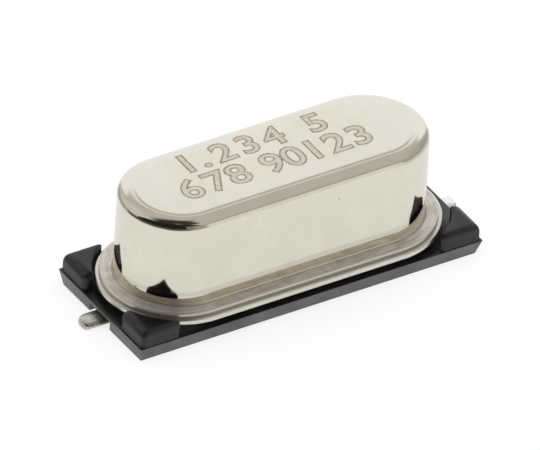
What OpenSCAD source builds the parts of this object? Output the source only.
// Low-profile quartz crystal unit in a welded metal can, on a moulded surface-mount insulator.
// Millimetres. +X runs along the can, +Z is up, the origin is the middle of the underside.

/* [Insulator base] */
// Length of the moulded plate
base_l = 11.6; // [11.2:0.05:12.4]
// Width of the moulded plate
base_w = 4.54; // [4.4:0.02:5.4]
// Thickness of the plate under the header
plate_t = 0.38; // [0.34:0.01:0.6]
// How far the base sits off the can's middle, within the header's play between the blocks
base_shift = 0.1; // [-0.1:0.01:0.1]
// Cut at the top of two opposite plate corners, which marks the direction
plate_corner_cut = 0.11; // [0.05:0.01:0.3]
// Lean of that cut, which goes deeper towards the underside
corner_cut_lean = 18; // [0:1:25]
// Length of a corner block along the can
block_l = 1.37; // [0.9:0.01:1.8]
// Width of a corner block across the can
block_w = 1.3; // [0.8:0.02:1.6]
// Height of a corner block above the plate
block_h = 0.56; // [0.3:0.02:0.9]
// Ledge between a block and the end of the plate
block_end_ledge = 0.05; // [0:0.01:0.15]
// Ledge between a block and the long side of the plate
block_side_ledge = 0.03; // [0:0.01:0.1]
// Radius on the top edges of the blocks
block_edge_r = 0.19; // [0.02:0.01:0.25]
// Radius on a block's top edge over the end of the plate
block_end_edge_r = 0.27; // [0.02:0.01:0.4]
// Plan radius on a block's outer corner
block_corner_r = 0.2; // [0.02:0.01:0.3]
// Plan radius on a block's corner towards the lead
block_nose_r = 0.22; // [0.05:0.01:0.4]
// Gap between a block and the header's flange
flange_gap = 0.16; // [0.12:0.01:0.2]
// Height of the channel that a lead's foot lies in
channel_h = 0.25; // [0.23:0.01:0.3]
// Gap on each side of the foot in its channel
channel_side_gap = 0.235; // [0.05:0.005:0.4]
// Gap round the wire in the plate's lead window
window_gap = 0.18; // [0.05:0.01:0.3]

/* [Header] */
// Distance between the centres of the can's two half-round ends
end_centres = 6.36; // [6.2:0.02:6.8]
// Radius of the header's flange at the ends
header_flange_r = 2.33; // [2.25:0.01:2.45]
// Thickness of the header's flange
header_flange_t = 0.18; // [0.1:0.01:0.3]
// Radius on the flange's outer edges
header_edge_r = 0.05; // [0.01:0.01:0.08]
// Height of the foot that lifts the flange off the plate
header_foot_h = 0.26; // [0.1:0.01:0.4]
// Set-in of that foot from the flange's edge
header_foot_inset = 0.6; // [0.3:0.05:0.9]
// Height of the boss that stands inside the can
boss_h = 0.75; // [0.4:0.05:1.0]
// Gap between the boss and the can's inner wall
boss_gap = 0.08; // [0.03:0.01:0.2]
// Radius on the boss's top edge
boss_edge_r = 0.12; // [0.02:0.01:0.3]

/* [Can cover] */
// Outer radius of the can at its half-round ends
can_r = 1.815; // [1.7:0.005:1.9]
// Height of the top of the can above the underside
can_top_z = 3.88; // [3.4:0.02:4.4]
// Thickness of the can's sheet
can_sheet_t = 0.14; // [0.08:0.01:0.18]
// Width of the sloping shoulder and edge round the can's flat top
can_shoulder_w = 0.475; // [0.4:0.005:0.6]
// Large radius of the shoulder
can_shoulder_r = 0.86; // [0.7:0.01:1.2]
// Small outer radius between the shoulder and the wall
can_edge_r = 0.2; // [0.19:0.01:0.28]
// Bend radius from the wall into the flange
can_foot_r = 0.06; // [0.05:0.01:0.12]
// Set-in of the can's flange from the header's flange edge
can_flange_inset = 0.12; // [0.05:0.01:0.2]
// Radius on the outer edge of the can's flange
can_lip_r = 0.04; // [0.01:0.01:0.06]

/* [Leads] */
// Distance between the two leads
lead_pitch = 4.88; // [4.6:0.02:5.1]
// Diameter of the lead wire
wire_d = 0.43; // [0.35:0.01:0.5]
// Bend radius of the wire's centre line
wire_bend_r = 0.25; // [0.24:0.01:0.35]
// Length over which the round wire turns into the flat foot
foot_taper_l = 0.5; // [0.3:0.05:0.8]
// Width of the flattened foot
foot_w = 0.62; // [0.5:0.01:0.8]
// Thickness of the flattened foot
foot_t = 0.2; // [0.15:0.01:0.22]
// Length of foot that sticks out beyond the plate
foot_reach = 0.55; // [0.3:0.05:1.0]
// Corner cut on one side of the foot's cropped tip
foot_tip_cut = 0.26; // [0.03:0.01:0.3]
// Corner cut on its other side
foot_tip_nick = 0.1; // [0.03:0.01:0.3]
// Height of the wire's end above the header's boss
wire_stub_h = 0.3; // [0.15:0.05:0.5]

/* [Glass seals] */
// Diameter of the bore that the glass fills
seal_d = 1.1; // [0.8:0.05:1.4]
// Depth of the glass below both faces of the header
seal_recess = 0.14; // [0.05:0.01:0.2]

/* [Crystal and its clips] */
// Thickness of the clip's nickel strip
clip_t = 0.1; // [0.05:0.01:0.15]
// Width of a clip
clip_w = 1.5; // [0.8:0.05:1.8]
// Length of the clip's foot on each side of the wire
clip_foot_l = 0.35; // [0.25:0.05:0.6]
// Height from the clip's foot to its shelf
clip_rise = 0.35; // [0.15:0.05:0.8]
// Run of the slope between foot and shelf
clip_slope_l = 0.3; // [0.2:0.05:0.5]
// Length of shelf that reaches past the end of the blank
clip_shelf_over = 0.35; // [0.1:0.05:0.5]
// Length of the quartz blank
blank_l = 7.8; // [7.0:0.1:8.0]
// Width of the quartz blank
blank_w = 1.8; // [1.2:0.1:2.2]
// Thickness of the quartz blank, 1.66 mm divided by its megahertz
blank_t = 0.21; // [0.1:0.01:0.4]
// Thickness of the silver films
film_t = 0.02; // [0.01:0.005:0.04]
// Length of a film's middle pad
film_pad_l = 4.2; // [2:0.1:5]
// Width of a film's middle pad
film_pad_w = 1.3; // [0.8:0.1:1.6]
// Width of the tail from the pad to one end
film_tail_w = 0.6; // [0.3:0.1:1.0]
// Radius of a drop of conductive cement
cement_r = 0.42; // [0.3:0.01:0.5]

/* [Hidden] */

// How far a cutting shape runs past what it cuts
over = 0.1;
// Turn of the cut across a plate corner, away from the can's length
corner_cut_turn = 40;
// Flat steps in each quarter turn of an edge radius
edge_steps = 6;
// Roundness of circles, cylinders and revolved ends
$fn = 96;

channel_w = foot_w + 2 * channel_side_gap;
window_w = wire_d + 2 * window_gap;
header_flange_z = plate_t + header_foot_h;
weld_z = header_flange_z + header_flange_t;
can_flange_z = weld_z + can_sheet_t;
can_flange_r = header_flange_r - can_flange_inset;
can_inner_r = can_r - can_sheet_t;
shoulder_slope = asin((can_shoulder_w - can_edge_r) / (can_shoulder_r - can_edge_r));
shoulder_drop = (can_shoulder_r - can_edge_r) * (1 - cos(shoulder_slope));
boss_top_z = weld_z + boss_h;
boss_r = can_inner_r - boss_gap;
wire_end_z = boss_top_z + wire_stub_h;
foot_tip_x = base_l / 2 + foot_reach;
bend_end_x = lead_pitch / 2 + wire_bend_r;
foot_start_x = bend_end_x + foot_taper_l;
shelf_z = wire_end_z + clip_rise;
shelf_end_x = blank_l / 2 + clip_shelf_over;
blank_z = shelf_z + clip_t + film_t;

// Points along an arc from one angle to another, ends included
function arc(centre, r, from, to) = [
    for (i = [0 : edge_steps])
        let (a = from + (to - from) * i / edge_steps)
            centre + r * [cos(a), sin(a)]
];

// An arc that goes on from where another one ended, so without its first point
function next_arc(centre, r, from, to) = [
    for (i = [1 : edge_steps]) arc(centre, r, from, to)[i]
];

// Sweeps a radius-and-height outline round a long shape with half-round ends
module oblong_sweep() {
    for (turn = [0, 180])
        rotate([0, 0, turn])
            translate([end_centres / 2, 0, 0])
                rotate([0, 0, -90])
                    rotate_extrude(angle = 180) children();
    translate([-end_centres / 2, 0, 0])
        rotate([90, 0, 90])
            linear_extrude(end_centres) {
                children();
                mirror([1, 0]) children();
            }
}

// Turns the right-hand piece round to make the left-hand one
module left_hand() {
    rotate([0, 0, 180]) children();
}

// ---- Insulator base ----

// What a leaning cut takes off one corner of the plate
module corner_waste() {
    size = base_w / 2;
    translate([base_l / 2, -base_w / 2 + plate_corner_cut, plate_t])
        rotate([0, corner_cut_lean, -corner_cut_turn])
            translate([0, -size / 2, -size / 2]) cube([size, size, size / 2 + block_h]);
}

// Plan of one corner block: rounded towards the lead, hollowed to follow the flange
module block_plan(x, y) {
    corner = block_corner_r;
    nose = block_nose_r;
    difference() {
        polygon(concat(
            arc([x - corner, y - corner], corner, 0, 90),
            [[x - block_l, y], [x - block_l, y - block_w]],
            arc([x - nose, y - block_w + nose], nose, -90, 0)));
        translate([end_centres / 2, 0]) circle(header_flange_r + flange_gap);
    }
}

// Outline of a block seen from one side, with rounded top edges
module block_side_view(from, to, outer_r) {
    top = plate_t + block_h;
    r = block_edge_r;
    polygon(concat(
        [[from, 0], [to, 0]],
        arc([to - outer_r, top - outer_r], outer_r, 0, 90),
        arc([from + r, top - r], r, 90, 180)));
}

// The block on the plate's corner towards +X and +Y
module corner_block() {
    x = base_l / 2 - block_end_ledge;
    y = base_w / 2 - block_side_ledge;
    intersection() {
        linear_extrude(plate_t + block_h) block_plan(x, y);
        translate([0, base_w / 2, 0])
            rotate([90, 0, 0]) linear_extrude(base_w) block_side_view(x - block_l, x, block_end_edge_r);
        rotate([90, 0, 90]) linear_extrude(base_l) block_side_view(y - block_w, y, block_edge_r);
    }
}

// Open channel under one end of the plate, and the window where the wire comes down and bends
module lead_channel() {
    translate([lead_pitch / 2, -channel_w / 2, -over])
        cube([base_l, channel_w, channel_h + over]);
    translate([lead_pitch / 2, 0, -over])
        cylinder(d = window_w, h = plate_t + 2 * over);
    translate([lead_pitch / 2, -window_w / 2, -over])
        cube([foot_start_x - lead_pitch / 2 + abs(base_shift), window_w, plate_t + 2 * over]);
}

module insulator_base() {
    color("#2b2b2e")
        translate([base_shift, 0, 0])
            difference() {
                union() {
                    translate([-base_l / 2, -base_w / 2, 0]) cube([base_l, base_w, plate_t]);
                    for (mx = [0, 1], my = [0, 1])
                        mirror([mx, 0, 0]) mirror([0, my, 0]) corner_block();
                }
                lead_channel();
                left_hand() lead_channel();
                corner_waste();
                left_hand() corner_waste();
            }
}

// ---- Header and glass seals ----

// Section of the header from its middle outwards: foot, flange, boss
module header_section() {
    foot_r = header_flange_r - header_foot_inset;
    edge = header_edge_r;
    polygon(concat(
        [[0, plate_t], [foot_r, plate_t], [foot_r, header_flange_z]],
        arc([header_flange_r - edge, header_flange_z + edge], edge, -90, 0),
        arc([header_flange_r - edge, weld_z - edge], edge, 0, 90),
        [[boss_r, weld_z]],
        arc([boss_r - boss_edge_r, boss_top_z - boss_edge_r], boss_edge_r, 0, 90),
        [[0, boss_top_z]]));
}

module header() {
    color("#c9c5b8")
        difference() {
            oblong_sweep() header_section();
            for (side = [-1, 1])
                translate([side * lead_pitch / 2, 0, plate_t - over])
                    cylinder(d = seal_d, h = boss_top_z - plate_t + 2 * over);
        }
}

// Glass bead that fills the bore round the wire
module glass_seal() {
    translate([lead_pitch / 2, 0, plate_t + seal_recess])
        color("#3f5a4c")
            difference() {
                cylinder(d = seal_d, h = boss_top_z - plate_t - 2 * seal_recess);
                translate([0, 0, -over])
                    cylinder(d = wire_d, h = boss_top_z);
            }
}

module glass_seal_right() {
    glass_seal();
}

module glass_seal_left() {
    left_hand() glass_seal();
}

// ---- Leads ----

// Section across the flattened foot: flat faces, round sides
module foot_section() {
    for (side = [-1, 1])
        translate([side * (foot_w - foot_t) / 2, foot_t / 2]) circle(d = foot_t);
    translate([-(foot_w - foot_t) / 2, 0]) square([foot_w - foot_t, foot_t]);
}

// Plan of the foot, with its tip's corners cut
module foot_plan() {
    y = foot_w / 2;
    cut = foot_tip_cut;
    nick = foot_tip_nick;
    polygon([[foot_start_x, -y], [foot_tip_x - cut, -y], [foot_tip_x, -y + cut],
        [foot_tip_x, y - nick], [foot_tip_x - nick, y], [foot_start_x, y]]);
}

// Wire down through the glass, bent outwards under the header, then flattened
module lead() {
    bend_z = wire_d / 2 + wire_bend_r;
    slice = 0.01;
    color("#d8d6cc") {
        translate([lead_pitch / 2, 0, bend_z])
            cylinder(d = wire_d, h = wire_end_z - bend_z);
        translate([bend_end_x, 0, bend_z])
            rotate([90, 0, 0])
                rotate([0, 0, 180])
                    rotate_extrude(angle = 90)
                        translate([wire_bend_r, 0]) circle(d = wire_d);
        hull() {
            translate([bend_end_x, 0, wire_d / 2])
                rotate([0, 90, 0]) cylinder(d = wire_d, h = slice, $fn = 32);
            translate([foot_start_x - slice, 0, 0])
                rotate([90, 0, 90]) linear_extrude(slice) foot_section($fn = 32);
        }
        intersection() {
            translate([foot_start_x, 0, 0])
                rotate([90, 0, 90]) linear_extrude(foot_tip_x - foot_start_x) foot_section();
            linear_extrude(foot_t) foot_plan();
        }
    }
}

module lead_right() {
    lead();
}

module lead_left() {
    left_hand() lead();
}

// ---- Crystal, clips, films and cement ----

// Nickel strip welded on the wire's end: foot, slope and shelf
module crystal_clip() {
    foot_in = lead_pitch / 2 - clip_foot_l;
    foot_out = lead_pitch / 2 + clip_foot_l;
    shelf_in = foot_out + clip_slope_l;
    color("#b9b6ad")
        translate([0, clip_w / 2, 0])
            rotate([90, 0, 0])
                linear_extrude(clip_w)
                    polygon([[foot_in, wire_end_z], [foot_out, wire_end_z], [shelf_in, shelf_z],
                        [shelf_end_x, shelf_z], [shelf_end_x, shelf_z + clip_t],
                        [shelf_in, shelf_z + clip_t], [foot_out, wire_end_z + clip_t],
                        [foot_in, wire_end_z + clip_t]]);
}

module crystal_clip_right() {
    crystal_clip();
}

module crystal_clip_left() {
    left_hand() crystal_clip();
}

module crystal_blank() {
    color("#dfe7e8")
        translate([-blank_l / 2, -blank_w / 2, blank_z])
            cube([blank_l, blank_w, blank_t]);
}

// Silver film: a pad in the middle and a tail to the right-hand end
module film() {
    color("#cfcfcf")
        linear_extrude(film_t) {
            square([film_pad_l, film_pad_w], center = true);
            translate([0, -film_tail_w / 2]) square([blank_l / 2, film_tail_w]);
        }
}

module electrode_top() {
    translate([0, 0, blank_z + blank_t]) left_hand() film();
}

module electrode_bottom() {
    translate([0, 0, blank_z - film_t]) film();
}

// Drop of cement over the end of the blank, down onto the shelf
module cement_drop() {
    color("#8d8d90")
        intersection() {
            translate([blank_l / 2, 0, blank_z + blank_t / 2]) sphere(cement_r);
            translate([0, -cement_r, shelf_z + clip_t]) cube([base_l, 2 * cement_r, can_top_z]);
        }
}

module cement_right() {
    difference() {
        cement_drop();
        crystal_blank();
        electrode_bottom();
    }
}

module cement_left() {
    difference() {
        left_hand() cement_drop();
        crystal_blank();
        electrode_top();
    }
}

// ---- Can cover ----

// Section of the can's sheet from its middle outwards: top, shoulder, wall, flange
module can_section() {
    shoulder_centre = [can_r - can_shoulder_w, can_top_z - can_shoulder_r];
    edge_centre = [can_r - can_edge_r, can_top_z - shoulder_drop - can_edge_r];
    slope_end = 90 - shoulder_slope;
    foot_centre = [can_r + can_foot_r, can_flange_z + can_foot_r];
    lip_centre = [can_flange_r - can_lip_r, can_flange_z - can_lip_r];
    polygon(concat(
        [[0, can_top_z]],
        arc(shoulder_centre, can_shoulder_r, 90, slope_end),
        next_arc(edge_centre, can_edge_r, slope_end, 0),
        arc(foot_centre, can_foot_r, 180, 270),
        arc(lip_centre, can_lip_r, 90, 0),
        [[can_flange_r, weld_z]],
        arc(foot_centre, can_foot_r + can_sheet_t, 270, 180),
        arc(edge_centre, can_edge_r - can_sheet_t, 0, slope_end),
        next_arc(shoulder_centre, can_shoulder_r - can_sheet_t, slope_end, 90),
        [[0, can_top_z - can_sheet_t]]));
}

module can_cover() {
    color("#dad8ca") oblong_sweep() can_section();
}

insulator_base();
header();
glass_seal_left();
glass_seal_right();
lead_left();
lead_right();
crystal_clip_left();
crystal_clip_right();
crystal_blank();
electrode_top();
electrode_bottom();
cement_left();
cement_right();
can_cover();
